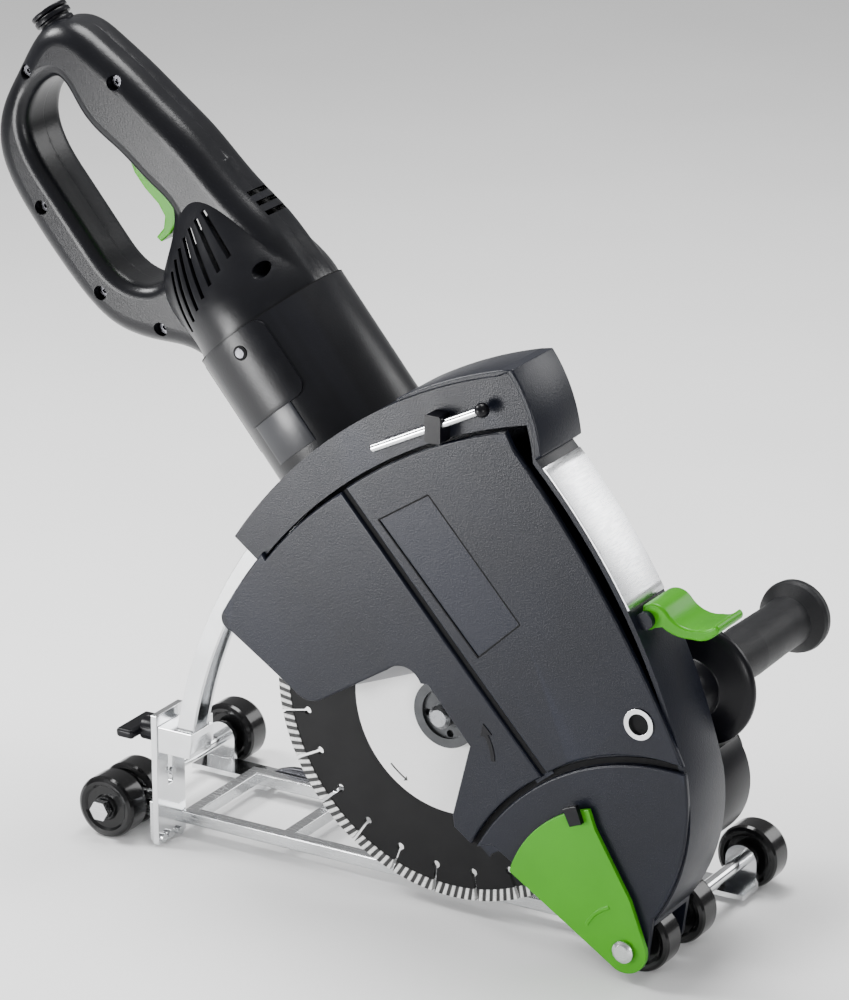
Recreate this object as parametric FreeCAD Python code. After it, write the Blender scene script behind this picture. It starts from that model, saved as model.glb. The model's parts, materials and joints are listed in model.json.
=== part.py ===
import FreeCAD, Part
import math
import os

# Wall chaser, millimetres. X points forward, Y away from the blade side, Z up; Z = 0 is the ground.
# Positions are first given from the blade: X from its axis, Y from its mid-plane.
# ORIGIN then moves the finished pieces so that the row frame sits under the middle of the machine.
ORIGIN = FreeCAD.Vector(80.7, -64.0, 0)

# Blade and plunge geometry
BLADE_R = 115.0
BLADE_T = 2.6
BLADE_Z = 124.2
LABEL_R = 63.0
FLANGE_R = 20.5
SLOTS = 25
PIVOT_X = 130.0
WHEEL_R = 19.2
PIVOT_Z = WHEEL_R
REAR_X = -227.6

# Guard: two front arcs, one hood arc, and the band that covers the guide rail
FRONT_C = (-206.0, 26.7)
FRONT_R = 382.0
FRONT_PANEL_R = 374.0
LOW_C = (64.8, 98.2)
LOW_R = 100.5
BAND_IN_R = 300.0
NEAR_Y = -26.0
FAR_Y = 15.0
WALL = 3.0
COVER_T = 3.0
LEDGE_T = 1.5

# Guide rail and base frame
RAIL_IN_R = 305.5
RAIL_OUT_R = 316.5
RAIL_Y = (-9.0, 8.0)
BAR_Z = (6.0, 14.0)
NEAR_BAR_Y = 12.0
FAR_BAR_Y = 82.0
BAR_W = 8.0
FRAME_END_X = 108.5
PLATE_X = -193.0
PLATE_T = 4.0
PLATE_Y = (-13.0, 16.0)
PLATE_TOP = 83.0
AXLE_R = 4.0

# Rollers, as near faces along Y
ROLLER_T = 19.0
NEAR_A_Y = -18.6
REAR_B_Y = 5.0
FRONT_B_Y = 24.0
FAR_ROLLER_Y = 112.0

# Motor line: it rises to the rear from the blade axis
MOTOR_TILT = math.radians(50.3)
MOTOR_Y = 61.5
HOUSING_R = 48.0
STATOR_R = 40.5
HOUSING_S = 161.0
SEAM_S = 246.0
SHAFT_R = 5.0
NOSE_R = 3.5
SPINDLE_R = 7.0
CROWN_TEETH = 40
PINION_TEETH = 12

# Green lever pin on the front rim
LEVER_X = 133.0
LEVER_Z = 211.5

LEVER_LIFT = 25.0

# Hex key stored on the hood band
KEY_Y = NEAR_Y - 6.5
KEY_DIR = (0.8964, 0.4433)

# Auxiliary handle
AUX_X = 134.9
AUX_Z = 154.4
AUX_END_Y = 165.0


def vec(x, y, z):
    return FreeCAD.Vector(x, y, z)


def pol(radius, degrees, centre=(PIVOT_X, PIVOT_Z)):
    """Point in the XZ plane at a radius and angle from a centre."""
    a = math.radians(degrees)
    return (centre[0] + radius * math.cos(a), centre[1] + radius * math.sin(a))


def path(start, steps):
    """Edges in the XZ plane. A step is an end point, or (middle, end) for an arc."""
    edges = []
    here = vec(start[0], 0, start[1])
    for step in steps:
        if isinstance(step[0], tuple):
            mid = vec(step[0][0], 0, step[0][1])
            end = vec(step[1][0], 0, step[1][1])
            edges.append(Part.Arc(here, mid, end).toShape())
        else:
            end = vec(step[0], 0, step[1])
            edges.append(Part.makeLine(here, end))
        here = end
    return edges


def prism(start, steps, y0, y1):
    """Closed XZ outline, extruded from y0 to y1."""
    face = Part.Face(Part.Wire(path(start, steps + [start])))
    face.translate(vec(0, y0, 0))
    return face.extrude(vec(0, y1 - y0, 0))


def box(x0, x1, y0, y1, z0, z1):
    return Part.makeBox(x1 - x0, y1 - y0, z1 - z0, vec(x0, y0, z0))


def rod(x, z, radius, y0, y1):
    """Cylinder along Y."""
    return Part.makeCylinder(radius, y1 - y0, vec(x, y0, z), vec(0, 1, 0))


def ring(x, z, outer, inner, y0, y1):
    return rod(x, z, outer, y0, y1).cut(rod(x, z, inner, y0 - 1, y1 + 1))


def arc_slab(r0, r1, a0, a1, y0, y1, centre=(PIVOT_X, PIVOT_Z)):
    """Part of a flat ring between two radii and two angles."""
    mid = (a0 + a1) / 2.0
    steps = [
        (pol(r1, mid, centre), pol(r1, a1, centre)),
        pol(r0, a1, centre),
        (pol(r0, mid, centre), pol(r0, a0, centre)),
    ]
    return prism(pol(r1, a0, centre), steps, y0, y1)


def turned(profile, x, z):
    """Solid of revolution about the Y line through (x, z), from (y, radius) points."""
    points = [vec(x, y, z + r) for y, r in profile]
    face = Part.Face(Part.makePolygon(points + [points[0]]))
    return face.revolve(vec(x, 0, z), vec(0, 1, 0), 360)


def hex_bar(x, z, across, y0, y1):
    """Hexagonal bar along Y."""
    r = across / math.sqrt(3)
    points = [pol(r, 60 * i, (x, z)) for i in range(6)]
    return prism(points[0], points[1:], y0, y1)


def soften(shape, radius, pick):
    """Round the edges that pick() accepts."""
    edges = [e for e in shape.Edges if pick(e)]
    return shape.makeFillet(radius, edges)


def at_y(y):
    """Picker for edges lying in the plane of one Y."""
    return lambda e: abs(e.BoundBox.YMin - y) < 0.01 and abs(e.BoundBox.YMax - y) < 0.01


def to_motor(shape):
    """Move a shape from motor axes (X along the motor, Y up-front, Z away) into place."""
    c = math.cos(MOTOR_TILT)
    s = math.sin(MOTOR_TILT)
    matrix = FreeCAD.Matrix(-c, s, 0, 0, 0, 0, 1, MOTOR_Y, s, c, 0, BLADE_Z, 0, 0, 0, 1)
    moved = shape.copy()
    moved.Placement = FreeCAD.Placement(matrix).multiply(moved.Placement)
    return moved


def along(radius, s0, s1, t=0, z=0):
    """Cylinder along the motor line, in motor axes."""
    return Part.makeCylinder(radius, s1 - s0, vec(s0, t, z), vec(1, 0, 0))


def save(name, shape):
    shape = shape.copy()
    shape.translate(ORIGIN)
    shape.exportStep("parts/" + name + ".step")


def several(shapes):
    return Part.makeCompound(shapes)


# ---------------------------------------------------------------- base frame

def base_frame():
    z0, z1 = BAR_Z
    near = box(PLATE_X, FRAME_END_X, NEAR_BAR_Y, NEAR_BAR_Y + BAR_W, z0, z1)
    far = box(PLATE_X, FRAME_END_X, FAR_BAR_Y, FAR_BAR_Y + BAR_W, z0, z1)
    frame = near.fuse(far)
    for x in (PLATE_X, -126, FRAME_END_X - BAR_W):
        frame = frame.fuse(box(x, x + BAR_W, NEAR_BAR_Y, FAR_BAR_Y + BAR_W, z0, z1))
    frame = frame.removeSplitter()
    return frame.makeFillet(1.0, [e for e in frame.Edges if e.BoundBox.ZLength < 0.01])


def upright_plate():
    x0 = PLATE_X - PLATE_T
    plate = box(x0, PLATE_X, PLATE_Y[0], PLATE_Y[1], 1, PLATE_TOP)
    slot = box(x0 - 1, PLATE_X + 1, -1.5, 3.5, 36, 56)
    stud_hole = Part.makeCylinder(3.2, 8, vec(x0 - 2, 1, 68), vec(1, 0, 0))
    return plate.cut(slot).cut(stud_hole)


def arc_rail():
    outer = arc_slab(RAIL_IN_R, RAIL_OUT_R, 136.5, 171.2, RAIL_Y[0], RAIL_Y[1])
    hollow = arc_slab(RAIL_IN_R - 1, RAIL_OUT_R - 2.5, 135, 173, RAIL_Y[0] + 2.5, RAIL_Y[1] - 2.5)
    return outer.cut(hollow)


def rail_clamp():
    """Block that seats the rail's lower end, and the jaw plate beside it."""
    body = box(PLATE_X, PLATE_X + 24, PLATE_Y[0] + 1, 11, 60, 76)
    seat = arc_slab(RAIL_IN_R, RAIL_OUT_R, 167, 173, RAIL_Y[0], RAIL_Y[1])
    jaw = box(PLATE_X + 3.5, PLATE_X + 21, 11, 15, 62, 80)
    sweep = rod(PIVOT_X, PIVOT_Z, BAND_IN_R + 3.6, -40, 40)
    return several([body.cut(seat).cut(sweep), jaw.cut(sweep)])


def clamp_knob():
    """Wing knob with its threaded stud."""
    x = PLATE_X - PLATE_T
    hub = Part.makeCylinder(7, 12, vec(x - 13, 1, 68), vec(1, 0, 0))
    wing = box(x - 24, x - 12, -15, 17, 65, 71)
    wing = wing.makeFillet(2.4, wing.Edges)
    stud = Part.makeCylinder(2.9, 5, vec(x - 4, 1, 68), vec(1, 0, 0))
    return hub.fuse(wing).fuse(stud)


def near_brackets():
    """Plates that carry the two axles at the blade side."""
    return several([rear_bracket_near(), front_bracket_near()])


def rear_bracket_near():
    web_y = NEAR_A_Y + ROLLER_T + 1.0
    web = box(REAR_X - 8, PLATE_X - PLATE_T, web_y, web_y + 3, WHEEL_R - 8, WHEEL_R + 8)
    foot = box(PLATE_X - PLATE_T - 3, PLATE_X - PLATE_T, PLATE_Y[0] + 2, 4, 2, 27)
    hole = rod(REAR_X, WHEEL_R, AXLE_R, web_y - 1, web_y + 4)
    return web.fuse(foot).cut(hole)


def ell_bracket(x, y, reach):
    """Rounded upright ear on a flat foot; reach is the foot's extent towards the frame."""
    ear = rod(x, WHEEL_R, 10, y, y + 3)
    ear = ear.fuse(box(x - 10, x + 10, y, y + 3, 3, WHEEL_R))
    foot = box(min(x - 10, reach), max(x + 10, reach), FAR_BAR_Y + BAR_W, y + 3, 3, 6)
    return ear.fuse(foot).cut(rod(x, WHEEL_R, AXLE_R, y - 1, y + 4))


def far_brackets():
    """L brackets for the far rollers, and the post that stands on the far bar."""
    y0 = FAR_BAR_Y + 1
    y1 = FAR_BAR_Y + BAR_W + 4
    rear = ell_bracket(REAR_X, 106.5, PLATE_X + 14)
    rear = rear.fuse(box(PLATE_X, PLATE_X + 14, y0, y1, 3, BAR_Z[0]))
    front = ell_bracket(PIVOT_X, 106.5, PIVOT_X - 34)
    front = front.fuse(box(PIVOT_X - 34, PIVOT_X - 18, y0, y1, 3, BAR_Z[0]))
    post = box(-140, -130, y0, y1 - 6, BAR_Z[1], 30)
    post = post.makeFillet(2.0, [e for e in post.Edges if e.BoundBox.ZLength > 10])
    return several([rear, front, post])


def front_bracket_near():
    ear = rod(PIVOT_X, PIVOT_Z, 8, 18.5, 21.5)
    arm = box(FRAME_END_X, PIVOT_X, 18.5, 21.5, BAR_Z[0], BAR_Z[1])
    tab = box(FRAME_END_X, FRAME_END_X + 6, NEAR_BAR_Y + 3, 21.5, BAR_Z[0], BAR_Z[1])
    body = ear.fuse(arm).fuse(tab)
    return body.cut(rod(PIVOT_X, PIVOT_Z, AXLE_R, 10, 30))


def frame_stay():
    """Black bent strap from the far rear bracket to a post on the far bar."""
    run = arc_slab(34, 40, 50, 118, FAR_BAR_Y + 9, FAR_BAR_Y + 13, (-160, -22))
    lug = box(-142, -130, FAR_BAR_Y + 8, FAR_BAR_Y + 13, 2, 12)
    return run.fuse(lug)


def rear_axle():
    return rod(REAR_X, WHEEL_R, AXLE_R, NEAR_A_Y - 1, FAR_ROLLER_Y + ROLLER_T + 1)


def front_axle():
    return rod(PIVOT_X, PIVOT_Z, AXLE_R, -34, FAR_ROLLER_Y + ROLLER_T + 1)


def base_fasteners():
    """Axle nuts, the round head of the front axle, and the screws of the upright plate."""
    far = FAR_ROLLER_Y + ROLLER_T + 1
    parts = [hex_bar(REAR_X, WHEEL_R, 11, far, far + 5), hex_bar(PIVOT_X, PIVOT_Z, 11, far, far + 5)]
    parts.append(hex_bar(REAR_X, WHEEL_R, 11, NEAR_A_Y - 6, NEAR_A_Y - 1))
    head = [(-37, 0), (-37, 4.5), (-35.6, 6.5), (-34, 6.5), (-34, 0)]
    parts.append(turned(head, PIVOT_X, PIVOT_Z))
    for y, z in ((-9.5, 5), (-3, 5), (8, 3.2), (1, 44)):
        parts.append(Part.makeCylinder(2.4, 2.2, vec(PLATE_X, y, z), vec(1, 0, 0)))
    return several(parts)


def roller(x, y):
    """Hard roller: rounded tread, sunk faces, bored for the axle."""
    r = WHEEL_R
    w = ROLLER_T
    profile = [(0, AXLE_R + 0.05), (0, 7), (2, 8), (2, 13), (0.6, 14.5), (0.2, 16.5), (1.2, 18.4), (3, r)]
    mirrored = [(w - a, b) for a, b in reversed(profile)]
    points = [(y + a, b) for a, b in profile + mirrored]
    return turned(points, x, WHEEL_R)


# ---------------------------------------------------------------- guard

def rim_steps(inset):
    """Hood arc, hood block and the two front arcs, moved inwards by inset."""
    block = [
        (44.4, 337.4 - inset),
        (50.5 - 0.3 * inset, 340.4 - inset),
        ((62.0 - inset, 321.0 - 0.5 * inset), pol(FRONT_R - inset, 44.2, FRONT_C)),
    ]
    hood = (pol(327.0 - inset, 124.0), block[0])
    joint = (164.4 - inset, 119.6)
    front = (pol(FRONT_R - inset, 29.3, FRONT_C), joint)
    low = (pol(LOW_R - inset, -13, LOW_C), pol(LOW_R - inset, -37, LOW_C))
    return [hood, block[1], block[2], front, low]


def guard_outline(y0, y1, hub_notch):
    """Whole side outline of the guard; the near side steps up around the blade hub."""
    steps = rim_steps(0)
    steps += [(142.5, PIVOT_Z), ((PIVOT_X + 1, PIVOT_Z - 12.5), (118.5, PIVOT_Z)), (60, 51)]
    if hub_notch:
        steps += [(31, 59), (18, 70), (28, 118), (1, 149), (-13, 157), (-25, 153), (-65, 127)]
    else:
        steps += [(18, 72), (-30, 98)]
    steps += [(-79, 123), (-137, 160.5), (pol(303, 147.2), pol(303, 143.2))]
    return prism(pol(322, 143.2), steps, y0, y1)


def guard_shell():
    """Far wall, rim, and the near lip that closes the band over the guide rail."""
    body = guard_outline(NEAR_Y, FAR_Y, False)
    room = prism(pol(319, 152), [pol(319, 143.2)] + rim_steps(WALL)
                 + [(160, 0), (-260, 0), (-260, 160)], NEAR_Y - 1, FAR_Y - WALL)
    shell = body.cut(room)
    lip = guard_outline(NEAR_Y, NEAR_Y + WALL, False)
    lip = lip.cut(arc_slab(1, BAND_IN_R + 1, 60, 200, NEAR_Y - 1, 0))
    lip = lip.cut(box(-400, 400, -60, 40, -50, 150))
    shell = shell.fuse(lip)
    side = arc_slab(300, 303, 142.2, 151.6, NEAR_Y, FAR_Y)
    post = rod(AUX_X, AUX_Z, 11, NEAR_Y, FAR_Y)
    eye = rod(PIVOT_X, PIVOT_Z, 9, FAR_Y - WALL, FAR_Y + 2)
    cheeks = rod(LEVER_X, LEVER_Z, 5, -22, -18.3).fuse(rod(LEVER_X, LEVER_Z, 5, 12.3, FAR_Y))
    cheeks = cheeks.cut(arc_slab(1, FRONT_R - 1, 10, 60, -60, 60, FRONT_C))
    shell = shell.fuse(side).fuse(post).fuse(eye).fuse(cheeks)
    shell = shell.cut(rod(0, BLADE_Z, 24, 0, 30))
    shell = shell.cut(rod(AUX_X, AUX_Z, 5, -60, 60))
    shell = shell.cut(rod(PIVOT_X, PIVOT_Z, AXLE_R + 0.05, -60, 60))
    return shell.removeSplitter()


def cover(start, steps):
    """Near cover plate with a softened outer edge."""
    plate = prism(start, steps, NEAR_Y - COVER_T, NEAR_Y)
    return soften(plate, 1.2, at_y(NEAR_Y - COVER_T))


def upper_cover():
    steps = [
        (pol(BAND_IN_R - 1, 117), pol(BAND_IN_R - 1, 105.5)),
        (55, 298.5),
        (pol(FRONT_PANEL_R, 30.5, FRONT_C), (162, 134.5)),
        ((118, 132.2), (77.5, 112.5)),
        (16, 180),
    ]
    plate = cover((-52, 256), steps)
    recess = prism((-30.8, 241.3), [(1.4, 262), (60, 197.1), (33.4, 172.2)],
                   NEAR_Y - COVER_T - 1, NEAR_Y - COVER_T + 0.6)
    plate = plate.cut(recess)
    return plate.cut(rod(AUX_X, AUX_Z, 9.3, -60, 0))


def wing_cover():
    steps = [
        (pol(BAND_IN_R - 1, 137.5), pol(BAND_IN_R - 1, 142)),
        pol(303, 141.8),
        (pol(303, 146.5), pol(303, 151)),
        ((-135.6, 159), (-130, 155)),
        (-88, 127.5),
        ((-79, 123.2), (-70, 124.8)),
        (-25, 153),
        ((-12, 156), (-4, 148.8)),
        (1, 149),
        (28, 118),
        (17, 74),
        (18, 67),
        (29, 59),
        ((47.5, 86.5), (74, 109.5)),
        (13, 177),
    ]
    ledge = prism((-58, 246), [(9, 171), (70, 104), (80.5, 112.5), (20.5, 184), (-47, 259.5)],
                  NEAR_Y, NEAR_Y + LEDGE_T)
    return cover((-55, 253), steps).fuse(ledge)


def nose_cover():
    steps = [
        ((76, 107), (163.4, 130.5)),
        (pol(LOW_R - 1.2, -8, LOW_C), pol(LOW_R - 1.2, -36, LOW_C)),
        (142.5, PIVOT_Z),
        ((PIVOT_X + 1, PIVOT_Z - 12.5), (118.5, PIVOT_Z)),
        (60, 51),
        (42, 61.5),
    ]
    plate = cover((32.5, 58), steps)
    ridge = prism((100, 95), [(107, 95), (133, 50), (141, 27), (136, 27), (127, 48)],
                  NEAR_Y - COVER_T - 1, NEAR_Y - COVER_T + 0.2)
    ledge = prism((26, 63), [((72.5, 113.5), (154, 136)), (155, 123.5), ((79.5, 100), (39, 51.5))],
                  NEAR_Y + LEDGE_T, NEAR_Y + 2 * LEDGE_T)
    spacer = prism((40, 54), [((80, 100), (153, 122)), (145, 110), (80, 80)], NEAR_Y - 0.5, NEAR_Y + LEDGE_T)
    plate = plate.fuse(ridge).fuse(ledge).fuse(spacer)
    return plate.cut(rod(PIVOT_X, PIVOT_Z, AXLE_R + 0.05, -60, 0))


def rim_strip():
    return arc_slab(FRONT_R + 0.06, FRONT_R + 1.5, 29.9, 43.4, NEAR_Y, FAR_Y - 1, FRONT_C)


def hood_cap():
    """Raised cap over the front end of the hood band."""
    cap = prism((-20, 313.5), [((14, 330.5), (46, 341.5)), (53.5, 343), ((65.5, 322), (72, 297)),
                (66, 292), ((59, 318), (49.5, 336)), (44.4, 334.4), ((14, 325.2), (-18.6, 309.9))],
                NEAR_Y - 2, FAR_Y + 2)
    keep = guard_outline(NEAR_Y - 5, FAR_Y + 5, False)
    return cap.cut(keep)


def key_clip():
    x, z = 8.5, 303.3
    body = box(x - 5, x + 5, KEY_Y - 4, NEAR_Y, z - 8, z + 8)
    body = body.makeFillet(1.5, [e for e in body.Edges if e.BoundBox.YLength > 7])
    return body.cut(key_rod(2.55, -30, 120))


def key_rod(radius, start, length):
    """Cylinder along the stored hex key; start is measured from the key's lower end."""
    d = vec(KEY_DIR[0], 0, KEY_DIR[1])
    base = vec(-31.6, KEY_Y, 284.4) + d * start
    return Part.makeCylinder(radius, length, base, d)


def hex_key():
    return key_rod(2.5, 0, 74)


def key_ball():
    d = vec(KEY_DIR[0], 0, KEY_DIR[1])
    centre = vec(-31.6, KEY_Y, 284.4) + d * 77
    ball = Part.makeSphere(4.2, centre)
    return ball.cut(key_rod(2.5, 0, 74))


def hinge_pins():
    """Pins of the green lever and of the trigger."""
    lever = rod(LEVER_X, LEVER_Z, 2.0, -18.3, 12.3)
    trigger_axis = Part.makeCylinder(1.5, 30, vec(368, -10, -15), vec(0, 0, 1))
    return several([lever, to_motor(trigger_axis)])


def green_lever():
    steps = [((138.5, 221), (144.5, 217.5)), ((154, 211.3), (164, 211.5)), ((169.5, 212.6), (174, 216)),
             ((176.2, 213.5), (174.5, 210.5)), ((168, 205.8), (160, 204.8)),
             ((149, 205.2), (141, 208.5)), (135, 206.5)]
    body = prism((128, 216.5), steps, -18, 12)
    hub = rod(LEVER_X, LEVER_Z, 6, -18, 12)
    body = body.fuse(hub).removeSplitter().cut(rod(LEVER_X, LEVER_Z, 2.05, -40, 40))
    rim = arc_slab(1, FRONT_R + 1.8, 10, 60, -60, 60, FRONT_C)
    lifted = rim.copy()
    lifted.rotate(vec(LEVER_X, 0, LEVER_Z), vec(0, 1, 0), LEVER_LIFT)
    body = body.cut(rim).cut(lifted)
    return soften(body, 1.6, lambda e: e.BoundBox.XMax > 150 and e.BoundBox.YLength < 0.01)


def green_flap():
    steps = [
        (pol(83, 131), pol(83, 106.5)),
        pol(72, 106),
        (133, 50),
        (143.2, 23),
        (pol(13.5, -60), pol(13.5, -115)),
    ]
    y1 = NEAR_Y - COVER_T - 1.3
    flap = prism(pol(80, 157), steps, y1 - 3, y1)
    rise = arc_slab(25, 27, 112, 156, y1 - 3.6, y1 - 2)
    flap = flap.fuse(rise)
    return flap.cut(rod(PIVOT_X, PIVOT_Z, AXLE_R + 0.05, -60, 0))


def flap_clip():
    y1 = NEAR_Y - COVER_T - 4.3
    return arc_slab(76, 87, 110, 116, y1 - 3.5, y1)


def dust_port():
    """Extraction duct behind the front of the guard, with a spigot that points away."""
    x, z = 122.5, 97.5
    body = turned([(FAR_Y, 0), (FAR_Y, 41), (50, 41), (57, 36), (60, 28), (60, 0)], x, z)
    room = turned([(FAR_Y - 1, 0), (FAR_Y - 1, 38), (49, 38), (55, 33.5), (57, 27), (57, 0)], x, z)
    body = body.cut(rod(AUX_X, AUX_Z, 36.6, 29.5, 70)).cut(rod(AUX_X, AUX_Z, 18.3, 0, 60))
    room = room.cut(rod(AUX_X, AUX_Z, 39.6, 26.5, 70)).cut(rod(AUX_X, AUX_Z, 21.3, 0, 60))
    spigot = rod(x, z, 19, 56, 84).cut(rod(AUX_X, AUX_Z, 36.6, 29.5, 70))
    bore = rod(x, z, 16, 50, 90)
    return body.fuse(spigot).cut(room).cut(bore)


# ---------------------------------------------------------------- auxiliary handle

def handle_bolt():
    """Through bolt with a bright collar and a hexagon socket."""
    head = rod(AUX_X, AUX_Z, 9.0, NEAR_Y - COVER_T - 1, NEAR_Y)
    head = head.fuse(rod(AUX_X, AUX_Z, 4.95, NEAR_Y, 150))
    head = head.cut(rod(AUX_X, AUX_Z, 6.2, NEAR_Y - 10, NEAR_Y - 1.5))
    return head.cut(hex_bar(AUX_X, AUX_Z, 7, NEAR_Y - 10, NEAR_Y + 5))


def hand_guard():
    body = turned([(FAR_Y, 5), (FAR_Y, 18), (30, 18), (36, 34), (38, 35.8), (41, 35.8), (43, 32),
                   (44, 16), (44, 5)], AUX_X, AUX_Z)
    return body


def aux_grip():
    profile = [(44, 5), (44, 14), (50, 13.4), (60, 14.6), (95, 15.6), (130, 14.8), (148, 15), (154, 21),
               (157, 21.8), (161, 21.4), (AUX_END_Y, 17), (AUX_END_Y, 0), (150, 0), (150, 5)]
    return turned(profile, AUX_X, AUX_Z)


# ---------------------------------------------------------------- gear head and motor

def gear_housing():
    body = rod(0, BLADE_Z, 38, FAR_Y, 80)
    neck = to_motor(along(42, 10, 112))
    trim = box(-300, 300, -100, FAR_Y + 0.5, 0, 600)
    body = body.fuse(neck.cut(trim))
    room = rod(0, BLADE_Z, 33, 20, 76).fuse(to_motor(along(38, 0, 88)).cut(box(-300, 300, -100, 20, 0, 600)))
    collar = rod(0, BLADE_Z, 24, 9, FAR_Y + 1)
    boss = ring(0, BLADE_Z, 16, 12, 68, 77)
    body = body.fuse(collar).cut(room).fuse(boss)
    body = body.cut(rod(0, BLADE_Z, 16, 10, 20.5)).cut(rod(0, BLADE_Z, 9, 0, 12))
    body = body.cut(to_motor(along(15, 80, 104))).cut(to_motor(along(38.5, 100, 120)))
    return body


def gear_cover():
    cap = turned([(80, 0), (80, 36), (84, 36), (87, 31), (87, 0)], 0, BLADE_Z)
    return cap.cut(to_motor(along(42.3, 5, 120)))


def spindle():
    body = turned([(-16, 0), (-16, 5), (-14, SPINDLE_R), (1.3, SPINDLE_R), (10, SPINDLE_R),
                   (66, SPINDLE_R), (66, 6), (75, 6), (75, 0)], 0, BLADE_Z)
    return body


def crown_gear():
    """Bevel wheel; its toothed cone faces the pinion with a small running gap."""
    gear = turned([(42, SPINDLE_R), (42, 28), (50.5, 31), (52.2, 30), (55.2, 20), (55.2, SPINDLE_R)],
                  0, BLADE_Z)
    cutters = []
    for i in range(CROWN_TEETH):
        tooth = Part.makeBox(16, 4, 1.6, vec(18, -2, -0.8))
        tooth.Placement = FreeCAD.Placement(vec(0, 54.5, BLADE_Z),
                                            FreeCAD.Rotation(vec(0, 1, 0), 360.0 * i / CROWN_TEETH))
        cutters.append(tooth)
    return gear.cut(several(cutters))


def pinion():
    cone = Part.makeCone(6, 9, 10, vec(20, 0, 0), vec(1, 0, 0))
    cone = cone.fuse(along(7, 30, 36)).cut(along(NOSE_R, 10, 40))
    cutters = []
    for i in range(PINION_TEETH):
        tooth = Part.makeBox(14, 4, 1.2, vec(18, 5.6, -0.6))
        tooth.rotate(vec(18, 0, 0), vec(0, 0, 1), 13)
        tooth.rotate(vec(0, 0, 0), vec(1, 0, 0), 360.0 * i / PINION_TEETH)
        cutters.append(tooth)
    return to_motor(cone.cut(several(cutters)))


def armature_shaft():
    return to_motor(along(SHAFT_R, 36, 240).fuse(along(NOSE_R, 19, 36)))


def armature_core():
    core = along(22, 130, 190).cut(along(SHAFT_R, 120, 200))
    cutters = []
    for i in range(12):
        slot = Part.makeBox(64, 7, 2.4, vec(128, 17, -1.2))
        slot.rotate(vec(0, 0, 0), vec(1, 0, 0), 30.0 * i)
        cutters.append(slot)
    return to_motor(core.cut(several(cutters)))


def windings():
    ends = [along(19, 121, 130), along(19, 190, 198)]
    return to_motor(several([e.cut(along(SHAFT_R, 110, 210)) for e in ends]))


def commutator():
    return to_motor(along(14, 200, 222).cut(along(SHAFT_R, 190, 230)))


def fan():
    hub = along(10, 107, 118).cut(along(SHAFT_R, 100, 125))
    disc = along(37, 107, 109).cut(along(9, 100, 125))
    wheel = hub.fuse(disc)
    for i in range(14):
        blade = Part.makeBox(8, 18, 1.4, vec(109, 17, -0.7))
        blade.rotate(vec(0, 0, 0), vec(1, 0, 0), 360.0 * i / 14)
        wheel = wheel.fuse(blade)
    return to_motor(wheel)


def bearings():
    front = ring(0, BLADE_Z, 16, SPINDLE_R, 12, 20)
    rear = ring(0, BLADE_Z, 12, 6, 68, 75)
    head = to_motor(along(15, 90, 100).cut(along(SHAFT_R, 80, 110)))
    tail = to_motor(along(11, 232, 240).cut(along(SHAFT_R, 230, 245)))
    return several([front, rear, head, tail])


def motor_housing():
    body = along(44.5, 112, HOUSING_S + 4).fuse(along(HOUSING_R, HOUSING_S, SEAM_S))
    body = soften(body, 2.0, lambda e: abs(e.BoundBox.XMax - HOUSING_S) < 0.1 and e.BoundBox.YLength > 92)
    body = body.cut(along(STATOR_R, 110, 236))
    body = body.cut(along(11, 230, 241)).cut(along(7, 238, 250))
    window = Part.makeBox(46, 32, 12, vec(199, -18, -HOUSING_R - 1))
    return to_motor(body.cut(window))


def stator():
    body = along(STATOR_R, 126, 194).cut(along(24.5, 120, 200))
    for side in (1, -1):
        body = body.cut(Part.makeBox(90, 22, 24, vec(120, -11, side * 30 - 12)))
    return to_motor(body)


def brush_gear():
    sets = []
    for side in (1, -1):
        start = 14.3 if side > 0 else -39.5
        sets.append(Part.makeBox(10, 8, 25.2, vec(206, -4, start)))
    return to_motor(several(sets))


def brush_cover():
    """Curved access panel on the near side of the motor."""
    shell = along(HOUSING_R + 1.2, 199, SEAM_S - 2).cut(along(HOUSING_R - 4, 190, 260))
    patch = Part.makeBox(45.8, 31.8, 20, vec(199.1, -17.9, -HOUSING_R - 5))
    lip = along(HOUSING_R + 1.2, 195, SEAM_S).cut(along(HOUSING_R, 190, 260))
    edge = Part.makeBox(50, 52, 60, vec(196, -28, -HOUSING_R - 30))
    edge = edge.makeFillet(7, [e for e in edge.Edges if e.BoundBox.ZLength > 50])
    front = Part.makeBox(200, 200, 200, vec(100, -100, -200))
    return to_motor(shell.common(patch).fuse(lip.common(edge).common(front)))


def blank_plate(s0, s1, centre, width, radius):
    """Thin blank plate wrapped on the housing; centre and width are angles in degrees."""
    shell = along(radius + 0.6, s0, s1).cut(along(radius, s0 - 5, s1 + 5))
    chord = 2 * radius * math.sin(math.radians(width / 2))
    patch = Part.makeBox(s1 - s0, chord, 30, vec(s0, -chord / 2, -radius - 15))
    patch.rotate(vec(0, 0, 0), vec(1, 0, 0), -centre)
    return shell.common(patch)


def plates():
    rating = blank_plate(170, 196, 5, 40, HOUSING_R)
    name = blank_plate(184, 243, 72, 26, HOUSING_R)
    return to_motor(several([rating, name]))


# ---------------------------------------------------------------- rear handle

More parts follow.
